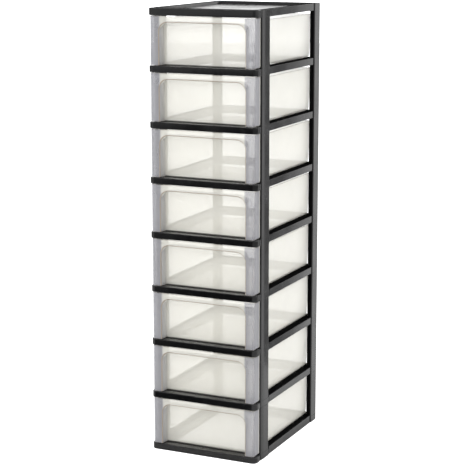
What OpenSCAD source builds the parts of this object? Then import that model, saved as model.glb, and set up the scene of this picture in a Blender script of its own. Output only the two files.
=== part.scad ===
// Free-standing tower of stacked drawers.
// Open ring frames are joined by hollow corner posts that push over spigots.
// The drawers slide on the frames' decks.
// X runs across the front, Y from the front to the back, Z up.
// The origin is on the floor, at the middle of the tower.

/* [Tower] */
// Width over the corner posts
tower_w = 260; // [236:1:330]
// Depth from the front bars to the back of the rear posts
tower_d = 355; // [290:1:430]
// Height of one storey, from the underside of one frame to the next
storey_h = 122.5; // [95:0.5:160]
// Number of drawers
drawer_count = 8; // [2:1:9]

/* [Frames] */
// Height of the base frame and the shelf frames
frame_h = 14.5; // [13:0.5:20]
// Height of the top frame
top_h = 16; // [14:0.5:24]
// Thickness of the deck that the drawers run on
deck_t = 2.5; // [2:0.1:4]
// Thickness of the skirts under the deck
skirt_t = 2; // [1.6:0.1:3]
// Depth of the front bar at its ends
bar_d = 22; // [16:0.5:24]
// Radius of the front bar's corners, seen from above
bar_corner_r = 12; // [6:0.5:15]
// Depth of the front ledge
ledge_d = 40; // [34:1:60]
// Depth of the rear ledge
rear_ledge_d = 36; // [30:1:60]
// Width of a side runner, from the tower's side inwards
runner_w = 30; // [26:0.5:34]
// Radius of the opening's corners
opening_r = 10; // [4:0.5:20]
// Distance of the side and rear rails inside the posts' outer faces
rail_inset = 1.5; // [0.5:0.1:2.5]
// Length of the shadow gap between a side rail and a corner block
rail_gap = 3; // [2:0.5:6]
// Depth of the shadow gaps, from the tower's side
gap_depth = 4; // [3:0.5:5]
// Height of the lip along the side rails of a shelf frame
shelf_lip_h = 0.8; // [0.4:0.1:2]
// Height of the lip along the side rails of the base frame
base_lip_h = 3.5; // [1:0.1:6]
// Width of the rim around the tray on top
rim_w = 12; // [9:0.5:16]
// Depth of the tray on top
tray_depth = 6.5; // [4:0.5:9]
// Largest distance between two ribs under a deck
rib_pitch = 50; // [30:1:80]
// Thickness of the ribs
rib_t = 1.6; // [1.2:0.1:2.4]

/* [Posts] */
// Width of a corner post, seen from the front
post_w = 12.4; // [10:0.1:16]
// Depth of a front corner post
front_post_d = 42; // [30:1:60]
// Depth of a rear corner post
rear_post_d = 34; // [24:1:50]
// Wall of a post
post_t = 2; // [1.6:0.1:3]
// Radius of a post's long edges
post_r = 3; // [2.2:0.1:4]
// Length of a corner block beyond a front post
block_extra = 3; // [0:0.5:5]
// Length of the spigots that the posts push over
spigot_h = 12; // [6:0.5:20]
// Gap around a spigot
spigot_gap = 0.2; // [0.1:0.05:0.4]

/* [Drawers] */
// Wall of a drawer
drawer_t = 2; // [1.6:0.1:3]
// Radius of the box's lower edges
drawer_edge_r = 8; // [4:0.5:12]
// How much narrower each side of the box is at the floor
drawer_draft = 4; // [1:0.5:6]
// Depth of a drawer's front
front_d = 25; // [22:0.5:27]
// Distance of a drawer's front behind the front bars
front_setback = 1.5; // [0.5:0.5:3]
// Distance of a drawer's front from the tower's side
front_side_gap = 3.5; // [2:0.5:6]
// Radius of the front's upright edges
front_edge_r = 8; // [4:0.5:10]
// Radius of the front's lower outer corners
front_corner_r = 5; // [2:0.5:8]
// Width of the column at each side of the front
column_w = 24; // [18:1:40]
// How much each side wall of the recess leans inwards
recess_draft = 2.5; // [0:0.5:5]
// Depth of the recess in the front
recess_d = 20.5; // [12:0.5:22]
// Height of the band above the recess
recess_band_h = 13.5; // [8:0.5:30]
// Radius of the recess's upper corners
recess_r = 20; // [6:1:30]

/* [Clearances] */
// Gap under a drawer where it runs on the deck
run_gap = 0.3; // [0.2:0.05:0.6]
// Gap between a drawer's box and a post at each side
side_gap = 0.6; // [0.3:0.1:1.5]
// Gap between a drawer's front and the front bar below it
sill_gap = 0.8; // [0.5:0.1:2]
// Gap between a drawer's front and the frame above it
head_gap = 1.3; // [0.8:0.1:4]
// Gap between a drawer's box and the frame above it
box_head_gap = 7.7; // [2:0.1:40]
// Gap between the back of a drawer's front and the front posts
lap_gap = 1.5; // [0.5:0.5:6]
// Gap between a drawer's back and the back of the tower
back_gap = 23.5; // [1:0.5:100]

/* [Hidden] */
$fn = 48;
// Overlap of the cutting shapes
eps = 1;
// Smallest radius left where a wall takes up a rounded edge
least_r = 0.1;
post_len = storey_h - frame_h;
front_back_y = front_setback + front_d;
front_post_y = front_back_y + lap_gap;
rear_post_y = tower_d - rear_post_d;
rail_y0 = front_post_y + front_post_d + block_extra + rail_gap;
rail_y1 = rear_post_y - rail_gap;
deck_z = frame_h - deck_t;
opening_hw = tower_w / 2 - runner_w;
rib_count_x = floor(opening_hw / rib_pitch);
rib_count_y = floor((tower_d - ledge_d - rear_ledge_d) / 2 / rib_pitch);
// Drawer: its length, the height of its box, and the box's half widths at its top edge and its floor
drawer_len = tower_d - back_gap - front_setback;
box_z = frame_h + run_gap;
drawer_box_h = storey_h - box_head_gap - box_z;
box_hw_top = tower_w / 2 - post_w - side_gap;
box_hw_low = box_hw_top - drawer_draft;
draft_angle = atan(drawer_draft / drawer_box_h);
edge_cx = box_hw_low - drawer_edge_r * (1 - sin(draft_angle)) / cos(draft_angle);
front_hw = tower_w / 2 - front_side_gap;
front_z = frame_h + sill_gap;
front_top = storey_h - head_gap;
recess_hw = front_hw - column_w;
recess_back_y = front_setback + recess_d;
recess_top = front_top - recess_band_h;
black = [0.06, 0.06, 0.065];
frosted = [0.84, 0.85, 0.9, 0.45];

// Puts what was drawn from the front plane at a height in the tower
module level(z) {
    translate([0, -tower_d / 2, z]) children();
}

// Both sides of the tower
module both_sides() {
    children();
    mirror([1, 0, 0]) children();
}

// ---------- outlines of the frames, seen from above ----------

// Front bar with round corners
module bar_plan(inset) {
    hw = tower_w / 2 - inset;
    r = bar_corner_r - inset;
    translate([-hw, bar_corner_r]) square([2 * hw, bar_d - inset - bar_corner_r]);
    translate([-hw + r, inset]) square([2 * (hw - r), bar_d - 2 * inset]);
    both_sides() translate([hw - r, bar_corner_r]) circle(r);
}

// Body of the ring, inside the shadow gaps
module core_plan(inset) {
    hw = tower_w / 2 - gap_depth - inset;
    y1 = tower_d - rail_inset - inset;
    translate([-hw, bar_corner_r]) square([2 * hw, y1 - bar_corner_r]);
}

// Side rails
module rail_plan(inset) {
    hw = tower_w / 2 - rail_inset - inset;
    translate([-hw, rail_y0 + inset]) square([2 * hw, rail_y1 - rail_y0 - 2 * inset]);
}

// Right-hand post or corner block, with rounded long edges
module post_plan(y, depth, inset = 0) {
    r = max(post_r - inset, least_r);
    x0 = tower_w / 2 - post_w + inset;
    x1 = tower_w / 2 - inset;
    y0 = y + inset;
    y1 = y + depth - inset;
    translate([x0 + r, y0]) square([x1 - x0 - 2 * r, y1 - y0]);
    translate([x0, y0 + r]) square([x1 - x0, y1 - y0 - 2 * r]);
    for (x = [x0 + r, x1 - r], yy = [y0 + r, y1 - r]) translate([x, yy]) circle(r);
}

// Solid pads under the four posts
module pads_plan() {
    both_sides() {
        post_plan(front_post_y, front_post_d + block_extra);
        post_plan(rear_post_y, rear_post_d);
    }
}

// Opening in the middle of a ring frame
module opening_plan(grow) {
    hw = opening_hw + grow;
    r = opening_r + grow;
    y0 = ledge_d - grow;
    y1 = tower_d - rear_ledge_d + grow;
    translate([-hw + r, y0]) square([2 * (hw - r), y1 - y0]);
    translate([-hw, y0 + r]) square([2 * hw, y1 - y0 - 2 * r]);
    both_sides() for (y = [y0 + r, y1 - r]) translate([hw - r, y]) circle(r);
}

// Ribs under the front ledge, the rear ledge and the runners.
// Three more lie over the top edges of the drawer below, and keep it from tipping when it is pulled out.
module ribs_plan() {
    mid_y = (ledge_d + tower_d - rear_ledge_d) / 2;
    edge_x = box_hw_top - drawer_t / 2;
    edge_y = front_setback + drawer_len - drawer_t / 2;
    for (i = [-rib_count_x:rib_count_x])
        translate([i * rib_pitch - rib_t / 2, 0]) square([rib_t, tower_d]);
    for (i = [-rib_count_y:rib_count_y])
        translate([-tower_w / 2, mid_y + i * rib_pitch - rib_t / 2]) square([tower_w, rib_t]);
    both_sides() translate([edge_x - rib_t / 2, 0]) square([rib_t, tower_d]);
    translate([-tower_w / 2, edge_y - rib_t / 2]) square([tower_w, rib_t]);
}

module frame_plan() {
    bar_plan(0);
    core_plan(0);
    rail_plan(0);
    pads_plan();
}

// Hollow under a deck, between the skirts and around the pads
module hollow_plan() {
    difference() {
        union() {
            bar_plan(skirt_t);
            core_plan(skirt_t);
            rail_plan(skirt_t);
        }
        pads_plan();
        ribs_plan();
    }
}

// Tray on the top frame
module tray_plan(grow) {
    hw = tower_w / 2 - rim_w + grow;
    r = opening_r + grow;
    y0 = bar_d - grow;
    y1 = tower_d - rim_w + grow;
    translate([-hw + r, y0]) square([2 * (hw - r), y1 - y0]);
    translate([-hw, y0 + r]) square([2 * hw, y1 - y0 - 2 * r]);
    both_sides() for (y = [y0 + r, y1 - r]) translate([hw - r, y]) circle(r);
}

// Four spigots that stand on a frame or hang under it
module spigots(z) {
    fit = post_t + spigot_gap;
    translate([0, 0, z]) linear_extrude(spigot_h) both_sides() {
        post_plan(front_post_y, front_post_d, fit);
        post_plan(rear_post_y, rear_post_d, fit);
    }
}

// ---------- frames ----------

// Ring frame with a flat deck, skirts and ribs
module ring_frame(lip_h) {
    lip_x = tower_w / 2 - rail_inset;
    difference() {
        linear_extrude(frame_h) frame_plan();
        translate([0, 0, -eps]) linear_extrude(frame_h + 2 * eps) opening_plan(0);
        translate([0, 0, -eps]) linear_extrude(deck_z + eps) difference() {
            hollow_plan();
            opening_plan(skirt_t);
        }
    }
    both_sides() translate([lip_x - skirt_t, rail_y0, frame_h])
        cube([skirt_t, rail_y1 - rail_y0, lip_h]);
    spigots(frame_h);
}

module base_frame() {
    color(black) level(0) ring_frame(base_lip_h);
}

module shelf_frame(i) {
    color(black) level(i * storey_h) {
        ring_frame(shelf_lip_h);
        spigots(-spigot_h);
    }
}

// Closed frame with a tray inside its rim
module top_frame() {
    plate_low = top_h - tray_depth - deck_t;
    color(black) level(drawer_count * storey_h) {
        difference() {
            linear_extrude(top_h) frame_plan();
            translate([0, 0, top_h - tray_depth]) linear_extrude(tray_depth + eps) tray_plan(0);
            translate([0, 0, -eps]) linear_extrude(plate_low + eps) hollow_plan();
            translate([0, 0, -eps]) linear_extrude(top_h - deck_t + eps) difference() {
                hollow_plan();
                tray_plan(skirt_t);
            }
        }
        spigots(-spigot_h);
    }
}

// ---------- posts ----------

// Right-hand post, hollow from end to end
module post(y, depth, i) {
    color(black) level((i - 1) * storey_h + frame_h) difference() {
        linear_extrude(post_len) post_plan(y, depth);
        translate([0, 0, -eps]) linear_extrude(post_len + 2 * eps) post_plan(y, depth, post_t);
    }
}

module post_front_right(i) {
    post(front_post_y, front_post_d, i);
}

module post_front_left(i) {
    mirror([1, 0, 0]) post_front_right(i);
}

module post_rear_right(i) {
    post(rear_post_y, rear_post_d, i);
}

module post_rear_left(i) {
    mirror([1, 0, 0]) post_rear_right(i);
}

// ---------- drawers ----------

// Cross-section of the box, seen from the front, with drafted sides and round lower edges
module box_section(inset, height) {
    r = drawer_edge_r - inset;
    side_x = edge_cx + r * cos(draft_angle);
    side_z = drawer_edge_r - r * sin(draft_angle);
    top_x = side_x + (height - side_z) * tan(draft_angle);
    polygon([
        [-top_x, height], [-side_x, side_z], [-edge_cx, inset],
        [edge_cx, inset], [side_x, side_z], [top_x, height]
    ]);
    both_sides() translate([edge_cx, drawer_edge_r]) circle(r);
}

// Box shape from one depth to another
module box_body(inset, height, y0, y1) {
    translate([0, y1, box_z]) rotate([90, 0, 0]) linear_extrude(y1 - y0) box_section(inset, height);
}

// Front shape with round upright edges and round lower outer corners.
// Inside, the lower corners keep half of their radius for the wall's thickness.
module front_body(inset, top) {
    hw = front_hw - inset;
    r = front_edge_r - inset;
    y0 = front_setback + inset;
    y1 = front_back_y - inset;
    low_r = front_corner_r - inset / 2;
    z0 = front_z + inset;
    intersection() {
        translate([0, 0, z0]) linear_extrude(top - z0) union() {
            translate([-hw, y0 + r]) square([2 * hw, y1 - y0 - r]);
            translate([-hw + r, y0]) square([2 * (hw - r), y1 - y0]);
            both_sides() translate([hw - r, y0 + r]) circle(r);
        }
        translate([0, tower_d, 0]) rotate([90, 0, 0]) linear_extrude(tower_d) union() {
            translate([-hw, z0 + low_r]) square([2 * hw, top - z0 - low_r]);
            translate([-hw + low_r, z0]) square([2 * (hw - low_r), top - z0]);
            both_sides() translate([hw - low_r, z0 + low_r]) circle(low_r);
        }
    }
}

// Recess in the front, an arch open at the bottom, with side walls that lean inwards
module recess_body(grow) {
    hw = recess_hw + grow;
    r = recess_r + grow;
    top = recess_top + grow;
    back = recess_back_y + grow;
    lean = recess_draft / recess_d;
    intersection() {
        linear_extrude(storey_h) polygon([
            [-hw - lean * front_setback, 0], [hw + lean * front_setback, 0],
            [hw - lean * (back - front_setback), back], [-hw + lean * (back - front_setback), back]
        ]);
        translate([0, tower_d, 0]) rotate([90, 0, 0]) linear_extrude(tower_d + eps) union() {
            translate([-hw - eps, 0]) square([2 * (hw + eps), top - r]);
            translate([-hw + r, 0]) square([2 * (hw - r), top]);
            both_sides() translate([hw - r, top - r]) circle(r);
        }
    }
}

// One moulding: a box behind a front that laps over the posts
module drawer_body() {
    difference() {
        union() {
            difference() {
                front_body(0, front_top);
                recess_body(0);
            }
            box_body(0, drawer_box_h, recess_back_y, front_setback + drawer_len);
        }
        difference() {
            union() {
                front_body(drawer_t, front_top + eps);
                box_body(drawer_t, storey_h, recess_back_y, front_setback + drawer_len - drawer_t);
            }
            recess_body(drawer_t);
        }
    }
}

module drawer(i) {
    color(frosted) level((i - 1) * storey_h) drawer_body();
}

// ---------- the parts ----------

base_frame();
for (i = [1:drawer_count - 1])
    shelf_frame(i);
top_frame();
for (i = [1:drawer_count]) {
    drawer(i);
    post_front_left(i);
    post_front_right(i);
    post_rear_left(i);
    post_rear_right(i);
}
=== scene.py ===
import math

import bmesh
import bpy
from bpy.props import (
    FloatProperty,
    FloatVectorProperty,
    IntProperty,
    PointerProperty,
)
from mathutils import Matrix, Vector


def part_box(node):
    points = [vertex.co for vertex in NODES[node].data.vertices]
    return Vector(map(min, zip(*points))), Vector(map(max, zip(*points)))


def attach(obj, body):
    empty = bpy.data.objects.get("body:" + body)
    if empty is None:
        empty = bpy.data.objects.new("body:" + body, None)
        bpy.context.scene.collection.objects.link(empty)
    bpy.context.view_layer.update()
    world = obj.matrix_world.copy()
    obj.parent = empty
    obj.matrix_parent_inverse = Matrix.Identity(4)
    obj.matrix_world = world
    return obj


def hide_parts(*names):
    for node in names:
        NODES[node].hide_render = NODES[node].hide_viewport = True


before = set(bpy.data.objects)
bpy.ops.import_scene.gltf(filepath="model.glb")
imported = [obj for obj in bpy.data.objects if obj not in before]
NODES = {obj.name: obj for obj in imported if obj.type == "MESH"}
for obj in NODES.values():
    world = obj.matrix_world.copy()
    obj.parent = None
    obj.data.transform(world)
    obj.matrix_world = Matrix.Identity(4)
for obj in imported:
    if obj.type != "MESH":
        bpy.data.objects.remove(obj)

bl_info = {
    "name": "Stacked Drawer Tower",
    "version": (1, 0, 0),
    "blender": (4, 5, 0),
    "location": "View3D > Sidebar > Drawers",
    "description": "Finishes a tower of sliding drawers on ring frames and corner posts",
    "category": "Object",
}

MM = 0.001
WHITE = (1.0, 1.0, 1.0, 1.0)
BACKWARDS = Vector((0.0, 1.0, 0.0))
UPWARDS = Vector((0.0, 0.0, 1.0))

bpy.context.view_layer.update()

# Ring frames and posts
FRONT_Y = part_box("base_frame")[0].y
POST_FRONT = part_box("post_front_right_1")[0].y
BAR_BACK = FRONT_Y + 22.0 * MM
DECK_FRONT = FRONT_Y + 21.0 * MM
BAR_CORNER_RADIUS = 12.0 * MM
BAR_CORNER_SIDE = 118.0 * MM
BAR_CORNER_SLACK = 0.5 * MM
BAR_SIDE_SLACK = 0.6 * MM
UNDERSIDE_HEIGHT = 1.0 * MM
RIM_HEIGHT = 3.0 * MM

# The crown on the outer sides of the front corners
CROWN_SPAN = 21.0 * MM
CROWN_DEPTH = 1.4 * MM
CROWN_CUTS = (0.15, 0.35, 0.55, 0.75, 1.0)
CORNER_INSIDE = 122.0 * MM
CORNER_OUTSIDE = 126.0 * MM
CROWN_FADE = 6.0 * MM

# The recess in a drawer's front, and the painted shade on the foot of its panel
ARCH_CORNER_SIDE = 82.5 * MM
ARCH_CORNER_DROP = 33.5 * MM
RECESS_SIDE = 104.0 * MM
RECESS_BACK = FRONT_Y + 24.0 * MM
RECESS_DROP = 5.0 * MM
SHADE_FOOT_SIDE = 101.0 * MM
SHADE_FOOT_BACK = FRONT_Y + 26.0 * MM
SHADE_FOOT_HEIGHT = 2.2 * MM

# Edges of a drawer that keep out of its bevel: the arch's own, and the feet of the columns
ARCH_SIDE = 106.0 * MM
ARCH_DEPTH = 2.1 * MM
ARCH_DROP = 4.0 * MM
COLUMN_FOOT_SIDES = (103.0 * MM, 110.0 * MM)
COLUMN_FOOT_DEPTH = 18.0 * MM
COLUMN_FOOT_HEIGHT = 3.0 * MM

# How closely meshes are joined and cut, and which edges and faces count
WELD = 0.002 * MM
SLIVER = 0.03 * MM
CUT = 0.001 * MM
FINE_CUT = 0.0005 * MM
LEVEL = 0.01 * MM
FLAT_ANGLE = math.radians(0.5)
SHARP_ANGLE = math.radians(30.0)
SQUARE_ON = 0.9

# Where the thick columns of a drawer's front fade into its thin walls
COLUMN_SIDES = (98.5 * MM, 103.5 * MM)
COLUMN_BACK = (FRONT_Y + 21.5 * MM, FRONT_Y + 24.5 * MM, 1.0, 0.0)

# Shares of the rim's painted shade tint and haze on a drawer's rounded edges, and of the painted
# shade on its foot
ROUNDED_SHADE_TINT = 0.6
ROUNDED_HAZE = 0.65
SHADE_FOOT_SHARE = 0.85

# The haze deepens where a wall is seen at a flat angle, until it faces the eye this little
LEAST_FACING = 0.6

# What mirroring surfaces see of the surroundings, as soft steps: from where, to where, and
# the levels there. The first way is the one that the fronts mirror, the second crosses it.
MIRRORED_WAY = Vector((-0.45, -0.89, 0.0)).normalized()
CROSSING_WAY = Vector((-0.89, 0.45, 0.0)).normalized()
AHEAD = (0.75, 0.95)
AROUND = 0.45
SKY_LOW = (0.0, 0.15, 1.0, 0.3)
SKY_HIGH = (0.35, 0.8)
SKY_RIGHT = (0.6, 0.95, 0.0, 1.5)
FLOOR_FAR = (0.3, 3.6, 1.0, 0.3)
FLOOR_LEFT = (0.0, 0.45)
FLOOR_NEAR = (0.2, 0.45, 1.0, 0.0)
CARD_MIDDLE = (0.30, 0.365, 1.45, 0.35)
CARD_RIGHT = (0.46, 0.56)

# What the camera sees around the tower, straight or through the clear plastic
BACKDROP_GLOW = 2.2
FLOOR_COLOUR = (0.9, 0.9, 0.9, 1.0)
FLOOR_GLOW = 2.1
FLOOR_GLOW_SHARE = 0.55

CARD_PLACE = (0.0, 0.55, 0.8)
CARD_SIZE = (1.8, 1.6, 1.0, 1.0)
LAMP_PLACE = (-1.4, -2.0, 2.6)
LAMP_AIM = (0.0, 0.0, 0.5)
LAMP_SIZE = 1.6
SENSOR_WIDTH = 36.0


# ---------- settings ----------


class DrawerTowerEdges(bpy.types.PropertyGroup):
    """How round the moulded edges are"""

    frame_edge: FloatProperty(
        name="Frame edges",
        description="Radius of the edges of the ring frames",
        default=0.35 * MM,
        min=0.1 * MM,
        unit="LENGTH",
    )
    bar_edge: FloatProperty(
        name="Bar edges",
        description="Radius of the long edges along the front bars and the top rim",
        default=1.6 * MM,
        min=0.1 * MM,
        unit="LENGTH",
    )
    post_edge: FloatProperty(
        name="Post edges",
        description="Radius of the edges at the ends of the corner posts",
        default=0.4 * MM,
        min=0.1 * MM,
        unit="LENGTH",
    )
    drawer_edge: FloatProperty(
        name="Drawer edges",
        description="Radius of the edges of a drawer",
        default=0.6 * MM,
        min=0.1 * MM,
        unit="LENGTH",
    )
    arch_edge: FloatProperty(
        name="Arch edge",
        description="Radius of the edge around the recess in a drawer's front",
        default=2.0 * MM,
        min=0.1 * MM,
        unit="LENGTH",
    )
    segments: IntProperty(
        name="Segments",
        description="Faces across a rounded edge",
        default=3,
        min=1,
        max=6,
    )


class DrawerTowerFinish(bpy.types.PropertyGroup):
    """Colours and gloss of the two plastics"""

    black_colour: FloatVectorProperty(
        name="Black",
        description="Colour of the frames and posts",
        subtype="COLOR",
        size=4,
        min=0.0,
        max=1.0,
        default=(0.0045, 0.0045, 0.0048, 1.0),
    )
    worn_colour: FloatVectorProperty(
        name="Worn black",
        description="Colour of the black plastic where its edges are rubbed",
        subtype="COLOR",
        size=4,
        min=0.0,
        max=1.0,
        default=(0.05, 0.05, 0.052, 1.0),
    )
    dust_colour: FloatVectorProperty(
        name="Dust",
        description="Colour of the fine dust on upward faces",
        subtype="COLOR",
        size=4,
        min=0.0,
        max=1.0,
        default=(0.20, 0.19, 0.175, 1.0),
    )
    black_roughness: FloatProperty(
        name="Black roughness",
        description="Roughness of the black plastic",
        default=0.17,
        min=0.0,
        max=1.0,
        subtype="FACTOR",
    )
    panel_colour: FloatVectorProperty(
        name="Clear panel",
        description="Tint of the see-through walls",
        subtype="COLOR",
        size=4,
        min=0.0,
        max=1.0,
        default=(1.0, 0.985, 0.915, 1.0),
    )
    column_colour: FloatVectorProperty(
        name="Milky column",
        description="Tint of the thick columns at the sides of a drawer's front",
        subtype="COLOR",
        size=4,
        min=0.0,
        max=1.0,
        default=(0.41, 0.41, 0.44, 1.0),
    )
    # Painted shade: the dark brown line that a thick clear edge shows, painted on the arch and
    # the rounded edges of a drawer
    rim_shade_colour: FloatVectorProperty(
        name="Rim",
        description="Colour that the rounded edges of a drawer gather",
        subtype="COLOR",
        size=4,
        min=0.0,
        max=1.0,
        default=(0.36, 0.31, 0.26, 1.0),
    )
    # Painted shade: a near-black tint for the lower edge of a drawer's front, where shade falls
    # on the ledge
    shade_foot_colour: FloatVectorProperty(
        name="Foot",
        description="Colour of the shaded lower edge of a drawer's front",
        subtype="COLOR",
        size=4,
        min=0.0,
        max=1.0,
        default=(0.012, 0.012, 0.012, 1.0),
    )
    panel_haze: FloatProperty(
        name="Panel haze",
        description="Share of the light that each surface of the thin walls holds back",
        default=0.31,
        min=0.0,
        max=1.0,
        subtype="FACTOR",
    )
    column_haze: FloatProperty(
        name="Column haze",
        description="Share of the light that each surface of the thick columns holds back",
        default=0.42,
        min=0.0,
        max=1.0,
        subtype="FACTOR",
    )
    rim_haze: FloatProperty(
        name="Rim haze",
        description="Share of the light that a rounded edge holds back",
        default=0.8,
        min=0.0,
        max=1.0,
        subtype="FACTOR",
    )
    frost: FloatProperty(
        name="Frost",
        description="Roughness of the drawer plastic",
        default=0.2,
        min=0.0,
        max=1.0,
        subtype="FACTOR",
    )


class DrawerTowerStage(bpy.types.PropertyGroup):
    """Floor, light and camera"""

    camera_place: FloatVectorProperty(
        name="Camera",
        description="Where the camera stands",
        subtype="XYZ",
        unit="LENGTH",
        size=3,
        default=(1.4379, -3.0941, 1.1718),
    )
    camera_turn: FloatVectorProperty(
        name="Camera turn",
        description="How the camera is turned",
        subtype="EULER",
        unit="ROTATION",
        size=3,
        default=(math.radians(78.455), 0.0, math.radians(24.974)),
    )
    camera_lens: FloatProperty(
        name="Lens",
        description="Focal length of the camera in millimetres",
        default=116.49,
        min=10.0,
    )
    floor_radius: FloatProperty(
        name="Floor",
        description="Radius of the floor",
        default=12.0,
        unit="LENGTH",
    )
    ambient: FloatProperty(
        name="Ambient light",
        description="Strength of the even light from all around",
        default=1.2,
        min=0.0,
    )
    key_power: FloatProperty(
        name="Key light",
        description="Power of the soft lamp in watts",
        default=12.0,
        min=0.0,
    )


class DrawerTowerSettings(bpy.types.PropertyGroup):
    """Settings of the drawer tower"""

    edges: PointerProperty(
        type=DrawerTowerEdges,
        name="Edges",
        description="How round the moulded edges are",
    )
    finish: PointerProperty(
        type=DrawerTowerFinish,
        name="Finish",
        description="Colours and gloss of the two plastics",
    )
    stage: PointerProperty(
        type=DrawerTowerStage,
        name="Stage",
        description="Floor, light and camera",
    )


def settings():
    """What the user has set for the tower."""
    return bpy.context.scene.drawer_tower


# ---------- node tree helpers ----------


def feed(tree, socket, value):
    """Links an output to a socket, or sets the socket's own value."""
    if isinstance(value, bpy.types.NodeSocket):
        tree.links.new(value, socket)
    else:
        socket.default_value = value


def add(tree, kind, values=None, **attributes):
    """Adds a node, sets its attributes, and feeds its inputs."""
    node = tree.nodes.new(kind)
    for name, value in attributes.items():
        setattr(node, name, value)
    for key, value in (values or {}).items():
        feed(tree, node.inputs[key], value)
    return node


def maths(tree, operation, a, b=0.0, clamp=False):
    node = add(tree, "ShaderNodeMath", {0: a, 1: b}, operation=operation, use_clamp=clamp)
    return node.outputs[0]


def plus(tree, a, b, clamp=False):
    return maths(tree, "ADD", a, b, clamp)


def times(tree, a, b, clamp=False):
    return maths(tree, "MULTIPLY", a, b, clamp)


def larger(tree, a, b):
    return maths(tree, "MAXIMUM", a, b)


def complement(tree, value, clamp=False):
    """One minus a value."""
    return maths(tree, "SUBTRACT", 1.0, value, clamp)


def spread(tree, value, low, high, to_low=0.0, to_high=1.0):
    """Maps a value from one range to another, with a smooth step."""
    node = add(
        tree,
        "ShaderNodeMapRange",
        {
            "Value": value,
            "From Min": low,
            "From Max": high,
            "To Min": to_low,
            "To Max": to_high,
        },
        interpolation_type="SMOOTHSTEP",
    )
    return node.outputs["Result"]


def coordinate(tree, vector, axis):
    """One coordinate of a vector: X, Y or Z."""
    return add(tree, "ShaderNodeSeparateXYZ", {"Vector": vector}).outputs[axis]


def reach(tree, vector, way):
    """How far a vector goes along a way."""
    node = add(tree, "ShaderNodeVectorMath", {0: vector, 1: way}, operation="DOT_PRODUCT")
    return node.outputs["Value"]


def attribute(tree, name):
    return add(tree, "ShaderNodeAttribute", attribute_name=name).outputs["Fac"]


def object_place(tree):
    return add(tree, "ShaderNodeTexCoord").outputs["Object"]


def blend_colours(tree, factor, a, b):
    return add(tree, "ShaderNodeMix", {0: factor, 6: a, 7: b}, data_type="RGBA").outputs[2]


def noise(tree, vector, scale, detail=3.0, roughness=0.55):
    node = add(
        tree,
        "ShaderNodeTexNoise",
        {"Vector": vector, "Scale": scale, "Detail": detail, "Roughness": roughness},
    )
    return node.outputs["Fac"]


def new_group(name, values, outputs):
    """A shader node group that takes a vector and these values, and puts out values."""
    group = bpy.data.node_groups.new(name, "ShaderNodeTree")
    sockets = group.interface
    sockets.new_socket(name="Vector", in_out="INPUT", socket_type="NodeSocketVector")
    for label, value in values.items():
        socket = sockets.new_socket(name=label, in_out="INPUT", socket_type="NodeSocketFloat")
        socket.default_value = value
    for label in outputs:
        sockets.new_socket(name=label, in_out="OUTPUT", socket_type="NodeSocketFloat")
    given = group.nodes.new("NodeGroupInput").outputs
    result = group.nodes.new("NodeGroupOutput").inputs
    return group, given, result


def place_group(tree, group, values):
    return add(tree, "ShaderNodeGroup", values, node_tree=group).outputs


# ---------- effects that the plastics share ----------


def moulded_grain():
    """Fine grain and slow unevenness of an injection-moulded skin."""
    name = "Moulded grain"
    if name in bpy.data.node_groups:
        return bpy.data.node_groups[name]
    group, given, result = new_group(
        name,
        {"Grain Scale": 1800.0, "Wave Scale": 14.0, "Wave Share": 0.5},
        ["Height", "Cloud"],
    )
    grain = noise(group, given["Vector"], given["Grain Scale"], 2.0)
    wave = noise(group, given["Vector"], given["Wave Scale"], 3.0)
    swell = times(group, wave, given["Wave Share"])
    feed(group, result["Height"], plus(group, grain, swell))
    feed(group, result["Cloud"], spread(group, wave, 0.3, 0.7))
    return group


def edge_wear():
    """Where handling has rubbed the rounded edges, patchy along their length."""
    name = "Edge wear"
    if name in bpy.data.node_groups:
        return bpy.data.node_groups[name]
    group, given, result = new_group(
        name,
        {"Edge": 0.0, "Patch Scale": 45.0, "Amount": 0.5},
        ["Mask"],
    )
    patch = noise(group, given["Vector"], given["Patch Scale"], 4.0, 0.6)
    patch = spread(group, patch, 0.4, 0.7, 0.25, 1.0)
    mask = times(group, patch, given["Edge"])
    feed(group, result["Mask"], times(group, mask, given["Amount"], clamp=True))
    return group


def settled_dust():
    """Fine dust on faces that look up."""
    name = "Settled dust"
    if name in bpy.data.node_groups:
        return bpy.data.node_groups[name]
    group, given, result = new_group(name, {"Speck Scale": 900.0, "Amount": 0.2}, ["Mask"])
    normal = add(group, "ShaderNodeNewGeometry").outputs["Normal"]
    up = spread(group, coordinate(group, normal, "Z"), 0.6, 0.98)
    cloud = spread(group, noise(group, given["Vector"], 9.0, 4.0), 0.35, 0.75, 0.35, 1.0)
    speck = noise(group, given["Vector"], given["Speck Scale"], 2.0)
    speck = spread(group, speck, 0.45, 0.75)
    mask = times(group, up, cloud)
    mask = times(group, mask, plus(group, times(group, speck, 0.6), 0.4))
    feed(group, result["Mask"], times(group, mask, given["Amount"], clamp=True))
    return group


def fine_scuffs():
    """Thin scratches that lie every way, as gloss changes."""
    name = "Fine scuffs"
    if name in bpy.data.node_groups:
        return bpy.data.node_groups[name]
    group, given, result = new_group(name, {"Scale": 60.0, "Amount": 0.5}, ["Mask"])
    total = 0.0
    for turn in ((0.3, 0.2, 0.5), (1.1, 0.7, 2.0), (2.2, 1.4, 3.6)):
        mapping = add(
            group,
            "ShaderNodeMapping",
            {"Vector": given["Vector"], "Rotation": turn, "Scale": (1.0, 14.0, 1.0)},
        )
        line = noise(group, mapping.outputs["Vector"], given["Scale"], 2.0, 0.4)
        line = spread(group, line, 0.66, 0.72)
        total = larger(group, line, total)
    feed(group, result["Mask"], times(group, total, given["Amount"], clamp=True))
    return group


# ---------- materials ----------


def new_material(name):
    """An empty material, its node tree and the socket that takes its shader."""
    material = bpy.data.materials.new(name)
    material.use_nodes = True
    tree = material.node_tree
    tree.nodes.clear()
    surface = tree.nodes.new("ShaderNodeOutputMaterial").inputs["Surface"]
    return material, tree, surface


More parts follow.
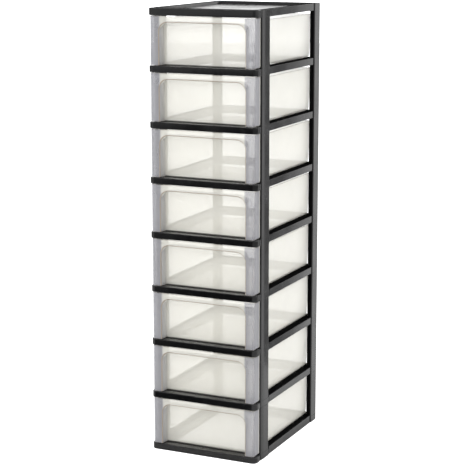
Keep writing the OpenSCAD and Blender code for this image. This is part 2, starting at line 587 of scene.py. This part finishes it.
def black_plastic(shaded_copy=False):
    """Near-black moulded plastic with rubbed edges, faint scuffs and a little dust.

    The shaded copy has no mirror, as painted shade for the decks and the front faces of the
    posts, which sit in shade.
    """
    name = "Shaded copy of black plastic" if shaded_copy else "Black moulded plastic"
    if name in bpy.data.materials:
        return bpy.data.materials[name]
    finish = settings().finish
    dustiness = 0.015 if shaded_copy else 0.05
    material, tree, surface = new_material(name)
    place = object_place(tree)
    rounded = attribute(tree, "edge")
    grain = place_group(tree, moulded_grain(), {"Vector": place, "Grain Scale": 1500.0})
    wear = {"Vector": place, "Edge": rounded, "Amount": 0.6}
    wear = place_group(tree, edge_wear(), wear)["Mask"]
    dust = place_group(tree, settled_dust(), {"Vector": place, "Amount": dustiness})["Mask"]
    scuff = place_group(tree, fine_scuffs(), {"Vector": place, "Amount": 0.5})["Mask"]

    colour = blend_colours(tree, wear, tuple(finish.black_colour), tuple(finish.worn_colour))
    colour = blend_colours(tree, dust, colour, tuple(finish.dust_colour))
    smoothest = finish.black_roughness - 0.04
    roughest = finish.black_roughness + 0.05
    gloss = spread(tree, grain["Cloud"], 0.0, 1.0, smoothest, roughest)
    gloss = plus(tree, gloss, times(tree, scuff, 0.12))
    gloss = plus(tree, gloss, times(tree, dust, 0.6), clamp=True)
    bump = {"Strength": 0.12, "Distance": 0.05 * MM, "Height": grain["Height"]}
    shader = add(
        tree,
        "ShaderNodeBsdfPrincipled",
        {
            "Base Color": colour,
            "Roughness": gloss,
            "IOR": 1.45,
            "Specular IOR Level": 0.0 if shaded_copy else 0.5,
            "Normal": add(tree, "ShaderNodeBump", bump).outputs["Normal"],
        },
    )
    feed(tree, surface, shader.outputs["BSDF"])
    return material


def drawer_plastic():
    """See-through plastic with a milky haze, more so in the thick columns of the front, with
    painted shade on its rounded edges and on the foot of its front.
    """
    name = "Frosted drawer plastic"
    if name in bpy.data.materials:
        return bpy.data.materials[name]
    finish = settings().finish
    material, tree, surface = new_material(name)
    place = object_place(tree)
    arch = attribute(tree, "arch")
    rounded = attribute(tree, "edge")
    # Painted shade: the foot of the front panel is tinted near-black and made nearly opaque,
    # standing in for the shade on the ledge below
    foot = times(tree, attribute(tree, "foot"), SHADE_FOOT_SHARE)
    grain = {"Vector": place, "Grain Scale": 900.0, "Wave Scale": 10.0}
    grain = place_group(tree, moulded_grain(), grain)
    scuff = {"Vector": place, "Scale": 90.0, "Amount": 0.3}
    scuff = place_group(tree, fine_scuffs(), scuff)["Mask"]
    beside = spread(tree, maths(tree, "ABSOLUTE", coordinate(tree, place, "X")), *COLUMN_SIDES)
    ahead = spread(tree, coordinate(tree, place, "Y"), *COLUMN_BACK)
    column = times(tree, beside, ahead)

    panel_colour = tuple(finish.panel_colour)
    column_colour = tuple(finish.column_colour)
    colour = blend_colours(tree, column, panel_colour, column_colour)
    # Painted shade: the arch, and in part the other rounded edges, take the dark rim tint,
    # standing in for the dark line that a thick clear edge shows
    rim = larger(tree, arch, times(tree, rounded, ROUNDED_SHADE_TINT))
    colour = blend_colours(tree, rim, colour, tuple(finish.rim_shade_colour))
    # Painted shade on the foot of the front panel
    colour = blend_colours(tree, foot, colour, tuple(finish.shade_foot_colour))

    haze = spread(tree, column, 0.0, 1.0, finish.panel_haze, finish.column_haze)
    haze = plus(tree, haze, spread(tree, grain["Cloud"], 0.0, 1.0, -0.005, 0.008))
    haze = larger(tree, haze, times(tree, arch, finish.rim_haze))
    haze = larger(tree, haze, times(tree, rounded, ROUNDED_HAZE))
    # The painted shade on the foot also hides what lies behind it
    haze = larger(tree, haze, foot)

    # At a flat angle the way through a wall is longer.
    turned = add(tree, "ShaderNodeLayerWeight", {"Blend": 0.5}).outputs["Facing"]
    facing = larger(tree, complement(tree, turned), LEAST_FACING)
    depth = maths(tree, "DIVIDE", 1.0, facing)
    passed = maths(tree, "POWER", complement(tree, haze), depth)
    haze = complement(tree, passed, clamp=True)

    smoothest = finish.frost - 0.02
    roughest = finish.frost + 0.03
    gloss = spread(tree, grain["Cloud"], 0.0, 1.0, smoothest, roughest)
    gloss = plus(tree, gloss, times(tree, scuff, 0.15), clamp=True)
    bump = {"Strength": 0.1, "Distance": 0.05 * MM, "Height": grain["Height"]}
    shader = add(
        tree,
        "ShaderNodeBsdfPrincipled",
        {
            "Base Color": colour,
            "Roughness": gloss,
            "IOR": 1.5,
            "Alpha": haze,
            "Normal": add(tree, "ShaderNodeBump", bump).outputs["Normal"],
        },
    )
    feed(tree, surface, shader.outputs["BSDF"])
    return material


def stage_floor():
    """Pale floor that keeps the tower's shadow, and that gloss mirrors in soft steps."""
    material, tree, surface = new_material("Stage floor")
    seen = add(tree, "ShaderNodeLightPath").outputs
    place = object_place(tree)
    far = add(tree, "ShaderNodeVectorMath", {0: place}, operation="LENGTH").outputs["Value"]
    way = maths(tree, "DIVIDE", reach(tree, place, MIRRORED_WAY), larger(tree, far, 0.01))
    ahead = spread(tree, way, *AHEAD)
    around = spread(tree, far, *FLOOR_FAR)
    beside = spread(tree, reach(tree, place, CROSSING_WAY), *FLOOR_LEFT)
    beside = larger(tree, beside, spread(tree, far, *FLOOR_NEAR))
    level = times(tree, around, complement(tree, ahead))
    level = plus(tree, level, times(tree, beside, ahead))
    grey = add(tree, "ShaderNodeCombineColor", {0: level, 1: level, 2: level}).outputs[0]
    pale = blend_colours(tree, seen["Is Glossy Ray"], FLOOR_COLOUR, grey)

    lit = add(tree, "ShaderNodeBsdfDiffuse", {"Color": pale}).outputs[0]
    glow = {"Color": WHITE, "Strength": FLOOR_GLOW}
    glow = add(tree, "ShaderNodeEmission", glow).outputs[0]
    direct = larger(tree, seen["Is Camera Ray"], seen["Is Transmission Ray"])
    share = times(tree, direct, FLOOR_GLOW_SHARE)
    mixed = add(tree, "ShaderNodeMixShader", {0: share, 1: lit, 2: glow})
    feed(tree, surface, mixed.outputs[0])
    return material


def bounce_card():
    """White card behind the tower, which only mirroring surfaces see."""
    material, tree, surface = new_material("Bounce card")
    right = coordinate(tree, object_place(tree), "X")
    level = plus(tree, spread(tree, right, *CARD_MIDDLE), spread(tree, right, *CARD_RIGHT))
    glow = add(tree, "ShaderNodeEmission", {"Strength": level})
    feed(tree, surface, glow.outputs[0])
    return material


# ---------- stage ----------


def place_camera(scene, stage):
    """Stands the camera in its place and looks through it."""
    lens = bpy.data.cameras.new("Camera")
    lens.lens = stage.camera_lens
    lens.sensor_width = SENSOR_WIDTH
    camera = bpy.data.objects.new("Camera", lens)
    camera.location = stage.camera_place
    camera.rotation_euler = stage.camera_turn
    scene.collection.objects.link(camera)
    scene.camera = camera


def stage_object(scene, name, shape, material):
    """Makes a floor or a card from a shape, which isn't part of the tower."""
    mesh = bpy.data.meshes.new(name)
    shape.to_mesh(mesh)
    shape.free()
    mesh.materials.append(material)
    made = bpy.data.objects.new(name, mesh)
    scene.collection.objects.link(made)
    return made


def lay_floor(scene, stage):
    """Lays the floor as a wide disc."""
    ground = bmesh.new()
    bmesh.ops.create_circle(ground, cap_ends=True, segments=96, radius=stage.floor_radius)
    stage_object(scene, "Floor", ground, stage_floor())


def hang_card(scene):
    """Stands the card upright behind the tower."""
    sheet = bmesh.new()
    bmesh.ops.create_grid(sheet, x_segments=1, y_segments=1, size=0.5)
    upright = Matrix.Rotation(math.pi / 2, 4, "X") @ Matrix.Diagonal(CARD_SIZE)
    bmesh.ops.transform(
        sheet,
        matrix=Matrix.Translation(CARD_PLACE) @ upright,
        verts=sheet.verts,
    )
    card = stage_object(scene, "Bounce card", sheet, bounce_card())
    card.visible_camera = False
    card.visible_diffuse = False
    card.visible_transmission = False
    card.visible_shadow = False


def hang_lamp(scene, stage):
    """Hangs the soft lamp to the left of the camera."""
    lamp = bpy.data.lights.new("Key light", "AREA")
    lamp.shape = "RECTANGLE"
    lamp.size = LAMP_SIZE
    lamp.size_y = LAMP_SIZE
    lamp.energy = stage.key_power
    key = bpy.data.objects.new("Key light", lamp)
    key.location = LAMP_PLACE
    aim = Vector(LAMP_AIM) - Vector(key.location)
    key.rotation_euler = aim.to_track_quat("-Z", "Y").to_euler()
    key.visible_glossy = False
    scene.collection.objects.link(key)


def fill_world(scene, stage):
    """Sets the even light, the white backdrop, and what mirroring surfaces see."""
    world = bpy.data.worlds.new("Studio")
    scene.world = world
    world.use_nodes = True
    tree = world.node_tree
    tree.nodes.clear()
    surface = tree.nodes.new("ShaderNodeOutputWorld").inputs["Surface"]
    seen = add(tree, "ShaderNodeLightPath").outputs
    way = add(tree, "ShaderNodeTexCoord").outputs["Generated"]
    rise = coordinate(tree, way, "Z")
    ahead = reach(tree, way, MIRRORED_WAY)
    low_down = spread(tree, rise, *SKY_LOW)
    level = times(tree, spread(tree, ahead, *AHEAD, AROUND, 1.0), low_down)
    level = larger(tree, level, spread(tree, ahead, *AHEAD, AROUND, 0.0))
    level = larger(tree, level, spread(tree, coordinate(tree, way, "X"), *SKY_RIGHT))
    level = larger(tree, level, spread(tree, rise, *SKY_HIGH))

    backdrop, mirrored, ambient = (
        add(tree, "ShaderNodeBackground", {"Color": WHITE, "Strength": strength}).outputs[0]
        for strength in (BACKDROP_GLOW, level, stage.ambient)
    )
    unseen = {0: seen["Is Glossy Ray"], 1: ambient, 2: mirrored}
    unseen = add(tree, "ShaderNodeMixShader", unseen).outputs[0]
    direct = larger(tree, seen["Is Camera Ray"], seen["Is Transmission Ray"])
    mixed = add(tree, "ShaderNodeMixShader", {0: direct, 1: unseen, 2: backdrop})
    feed(tree, surface, mixed.outputs[0])


# ---------- shaping ----------


def merged_copy(node):
    """A bmesh copy of a CAD node, its loose triangles joined and its flat faces made whole."""
    shape = bmesh.new()
    shape.from_mesh(NODES[node].data)
    bmesh.ops.remove_doubles(shape, verts=shape.verts, dist=WELD)
    bmesh.ops.dissolve_limit(
        shape,
        angle_limit=FLAT_ANGLE,
        use_dissolve_boundaries=False,
        verts=shape.verts,
        edges=shape.edges,
    )
    return shape


def mark_layers(shape, *names):
    """Adds a face layer for each name, and gives them once all are there."""
    layers = shape.faces.layers.float
    for name in names:
        layers.new(name)
    return [layers[name] for name in names]


def mark(faces, layers):
    """Marks faces in these layers."""
    for face in faces:
        for layer in layers:
            face[layer] = 1.0


def cut_across(shape, faces, spot, way, nearness=CUT):
    """Cuts faces along a plane, and takes nothing away."""
    edges = dict.fromkeys(edge for face in faces for edge in face.edges)
    verts = dict.fromkeys(vert for face in faces for vert in face.verts)
    bmesh.ops.bisect_plane(
        shape,
        geom=[*faces, *edges, *verts],
        dist=nearness,
        plane_co=spot,
        plane_no=way,
    )


def sharp_edges(shape, where=None):
    """Outward edges sharper than the sharp angle, of which a test may keep some."""
    found = []
    for edge in shape.edges:
        if len(edge.link_faces) != 2 or not edge.is_convex:
            continue
        if edge.calc_face_angle() < SHARP_ANGLE:
            continue
        if where is None or where(edge):
            found.append(edge)
    return found


def round_edges(shape, edges, radius, segments, *layers):
    """Rounds edges, and marks the new faces in these layers."""
    made = bmesh.ops.bevel(
        shape,
        geom=edges,
        offset=radius,
        offset_type="OFFSET",
        segments=segments,
        profile=0.5,
        affect="EDGES",
        clamp_overlap=False,
        material=-1,
        loop_slide=True,
    )
    mark(made["faces"], layers)


def on_bar_outline(spot):
    """Whether a point lies on the outline of a front bar, whose corners are round."""
    beside = abs(spot.x) - BAR_CORNER_SIDE
    ahead = FRONT_Y + BAR_CORNER_RADIUS - spot.y
    if ahead <= 0.0:
        return beside > BAR_CORNER_RADIUS - BAR_SIDE_SLACK
    return math.hypot(max(beside, 0.0), ahead) > BAR_CORNER_RADIUS - BAR_CORNER_SLACK


def crown_corners(shape):
    """Curves the outer sides of the front corners, which fall away towards the front."""
    for share in CROWN_CUTS:
        outer = [
            face for face in shape.faces if any(abs(v.co.x) > CORNER_OUTSIDE for v in face.verts)
        ]
        cut_across(shape, outer, (0.0, POST_FRONT + CROWN_SPAN * share, 0.0), BACKWARDS)
    for vert in shape.verts:
        share = (POST_FRONT + CROWN_SPAN - vert.co.y) / CROWN_SPAN
        if 0.0 < share < 1.001:
            out = min(max((abs(vert.co.x) - CORNER_INSIDE) / CROWN_FADE, 0.0), 1.0)
            vert.co.x -= math.copysign(CROWN_DEPTH * share**2 * out, vert.co.x)


def recess_walls(shape, top):
    """The walls that stand around the recess of a drawer's front."""
    walls = []
    for face in shape.faces:
        spot = face.calc_center_median()
        within = abs(spot.x) < RECESS_SIDE and spot.y < RECESS_BACK and spot.z < top - RECESS_DROP
        if within and abs(face.normal.y) < SQUARE_ON:
            walls.append(face)
    return walls


def flare_arch(shape, front, top, radius, steps, layers):
    """Rounds the edge around the recess, by curving the recess's walls outwards."""
    corner_x = ARCH_CORNER_SIDE
    corner_z = top - ARCH_CORNER_DROP
    for step in range(1, steps + 1):
        depth = radius * (1.0 - math.cos(math.pi / 2 * step / steps))
        walls = recess_walls(shape, top)
        cut_across(shape, walls, (0.0, front + depth, 0.0), BACKWARDS, FINE_CUT)
    walls = [
        face for face in recess_walls(shape, top) if face.calc_center_median().y < front + radius
    ]
    mark(walls, layers)
    for vert in {v for face in walls for v in face.verts}:
        depth = vert.co.y - front
        out = radius - math.sqrt(max(radius**2 - (radius - depth) ** 2, 0.0))
        way = Vector((max(abs(vert.co.x) - corner_x, 0.0), max(vert.co.z - corner_z, 0.0)))
        if way.length > 0.0:
            way.normalize()
            vert.co.x += math.copysign(out * way.x, vert.co.x)
            vert.co.z += out * way.y


def finish_piece(shape, node, body, materials):
    """Makes the piece that stands for a node, in place and riding on its body."""
    name = node + "_moulding"
    bmesh.ops.dissolve_degenerate(shape, dist=SLIVER, edges=shape.edges)
    mesh = bpy.data.meshes.new(name)
    shape.to_mesh(mesh)
    shape.free()
    for material in materials:
        mesh.materials.append(material)
    mesh.shade_smooth()
    piece = bpy.data.objects.new(name, mesh)
    bpy.context.scene.collection.objects.link(piece)
    even = piece.modifiers.new("Even shading", "WEIGHTED_NORMAL")
    even.weight = 50
    even.keep_sharp = True
    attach(piece, body)
    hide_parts(node)


# ---------- operators ----------


def nodes_named(*words):
    """The CAD nodes whose names start with one of these words, in order."""
    found = sorted(name for name in NODES if name.startswith(words))
    if not found:
        raise RuntimeError(f"the frame holds no node for {words}")
    return found


class DRAWERTOWER_OT_stage(bpy.types.Operator):
    """Set up the floor, the light and the camera"""

    bl_idname = "drawer_tower.stage"
    bl_label = "Stage"

    def execute(self, context):
        scene = context.scene
        stage = settings().stage
        scene.view_settings.view_transform = "Standard"
        scene.cycles.max_bounces = 40
        scene.cycles.transmission_bounces = 40
        scene.cycles.transparent_max_bounces = 40
        scene.cycles.glossy_bounces = 8
        scene.cycles.diffuse_bounces = 6
        place_camera(scene, stage)
        lay_floor(scene, stage)
        fill_world(scene, stage)
        hang_card(scene)
        hang_lamp(scene, stage)
        return {"FINISHED"}


class DRAWERTOWER_OT_frames(bpy.types.Operator):
    """Mould the base frame, the shelf frames and the top frame"""

    bl_idname = "drawer_tower.frames"
    bl_label = "Frames"

    def execute(self, context):
        edges = settings().edges
        plastics = [black_plastic(), black_plastic(shaded_copy=True)]
        for node in nodes_named("base_frame", "shelf_frame_", "top_frame"):
            low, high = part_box(node)
            shape = merged_copy(node)
            crown_corners(shape)
            (rounded,) = mark_layers(shape, "edge")

            def along_bar(edge):
                a, b = (v.co for v in edge.verts)
                level = abs(a.z - b.z) < LEVEL
                return level and all(v.y < BAR_BACK and on_bar_outline(v) for v in (a, b))

            def away_from_bar(edge):
                for vert in edge.verts:
                    below = vert.co.z < low.z + UNDERSIDE_HEIGHT
                    if vert.co.y < BAR_BACK and below:
                        return False
                    if any(face[rounded] for face in vert.link_faces):
                        return False
                return True

            long_edges = sharp_edges(shape, along_bar)
            round_edges(shape, long_edges, edges.bar_edge, edges.segments, rounded)
            other_edges = sharp_edges(shape, away_from_bar)
            round_edges(shape, other_edges, edges.frame_edge, edges.segments, rounded)
            cut_across(shape, shape.faces, (0.0, DECK_FRONT, 0.0), BACKWARDS)
            # Painted shade: the upward decks behind the front bars, and the top of the top
            # frame's rim, take the copy of the black plastic without reflection, so that they
            # look as dark as decks in shade
            for face in shape.faces:
                spot = face.calc_center_median()
                if node == "top_frame":
                    shaded_copy = spot.z > high.z - RIM_HEIGHT
                else:
                    shaded_copy = spot.y > DECK_FRONT
                if shaded_copy and face.normal.z > SQUARE_ON and not face[rounded]:
                    face.material_index = 1
            finish_piece(shape, node, "frame", plastics)
        return {"FINISHED"}


class DRAWERTOWER_OT_posts(bpy.types.Operator):
    """Mould the corner posts"""

    bl_idname = "drawer_tower.posts"
    bl_label = "Corner posts"

    def execute(self, context):
        edges = settings().edges
        plastics = [black_plastic(), black_plastic(shaded_copy=True)]
        for node in nodes_named("post_"):
            shape = merged_copy(node)
            if "front" in node:
                crown_corners(shape)
            (rounded,) = mark_layers(shape, "edge")
            round_edges(shape, sharp_edges(shape), edges.post_edge, edges.segments, rounded)
            # Painted shade: the front faces of the posts take the copy of the black plastic
            # without reflection, as they sit in shade behind the drawers
            for face in shape.faces:
                if face.normal.y < -SQUARE_ON:
                    face.material_index = 1
            finish_piece(shape, node, "frame", plastics)
        return {"FINISHED"}


class DRAWERTOWER_OT_drawers(bpy.types.Operator):
    """Mould the see-through drawers"""

    bl_idname = "drawer_tower.drawers"
    bl_label = "Drawers"

    def execute(self, context):
        edges = settings().edges
        for node in nodes_named("drawer_"):
            low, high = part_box(node)
            shape = merged_copy(node)
            arch, rounded, foot = mark_layers(shape, "arch", "edge", "foot")

            def clear_of_arch(edge):
                spot = (edge.verts[0].co + edge.verts[1].co) / 2
                side, depth, height = abs(spot.x), spot.y - low.y, spot.z - low.z
                drop = high.z - spot.z
                if side < ARCH_SIDE and depth < ARCH_DEPTH and drop > ARCH_DROP:
                    return False
                at_column = COLUMN_FOOT_SIDES[0] < side < COLUMN_FOOT_SIDES[1]
                at_foot = depth > COLUMN_FOOT_DEPTH and height < COLUMN_FOOT_HEIGHT
                return not (at_column and at_foot)

            radius = edges.arch_edge
            flare_arch(shape, low.y, high.z, radius, edges.segments + 1, (rounded, arch))
            other_edges = sharp_edges(shape, clear_of_arch)
            round_edges(shape, other_edges, edges.drawer_edge, edges.segments, rounded)
            # Painted shade: the faces of the lowest strip of the front panel are marked, so that
            # the plastic tints them dark
            shade_foot_top = low.z + SHADE_FOOT_HEIGHT
            cut_across(shape, shape.faces, (0.0, 0.0, shade_foot_top), UPWARDS)
            for face in shape.faces:
                spot = face.calc_center_median()
                if abs(spot.x) < SHADE_FOOT_SIDE and spot.y < SHADE_FOOT_BACK and spot.z < shade_foot_top:
                    face[foot] = 1.0
            finish_piece(shape, node, node + "_body", [drawer_plastic()])
        return {"FINISHED"}


class DRAWERTOWER_PT_panel(bpy.types.Panel):
    """Lists what makes the drawer tower"""

    bl_idname = "DRAWERTOWER_PT_panel"
    bl_label = "Drawer tower"
    bl_space_type = "VIEW_3D"
    bl_region_type = "UI"
    bl_category = "Drawers"

    def draw(self, context):
        layout = self.layout
        for operator in OPERATORS:
            layout.operator(operator.bl_idname)
        chosen = context.scene.drawer_tower
        for part in (chosen.edges, chosen.finish, chosen.stage):
            box = layout.box()
            for name in part.__annotations__:
                box.prop(part, name)


OPERATORS = (
    DRAWERTOWER_OT_stage,
    DRAWERTOWER_OT_frames,
    DRAWERTOWER_OT_posts,
    DRAWERTOWER_OT_drawers,
)
CLASSES = (
    DrawerTowerEdges,
    DrawerTowerFinish,
    DrawerTowerStage,
    DrawerTowerSettings,
    *OPERATORS,
    DRAWERTOWER_PT_panel,
)


def register():
    for item in CLASSES:
        bpy.utils.register_class(item)
    bpy.types.Scene.drawer_tower = PointerProperty(type=DrawerTowerSettings)


def unregister():
    del bpy.types.Scene.drawer_tower
    for item in reversed(CLASSES):
        bpy.utils.unregister_class(item)


def main():
    register()
    bpy.ops.drawer_tower.stage()
    bpy.ops.drawer_tower.frames()
    bpy.ops.drawer_tower.posts()
    bpy.ops.drawer_tower.drawers()


if __name__ == "__main__":
    main()
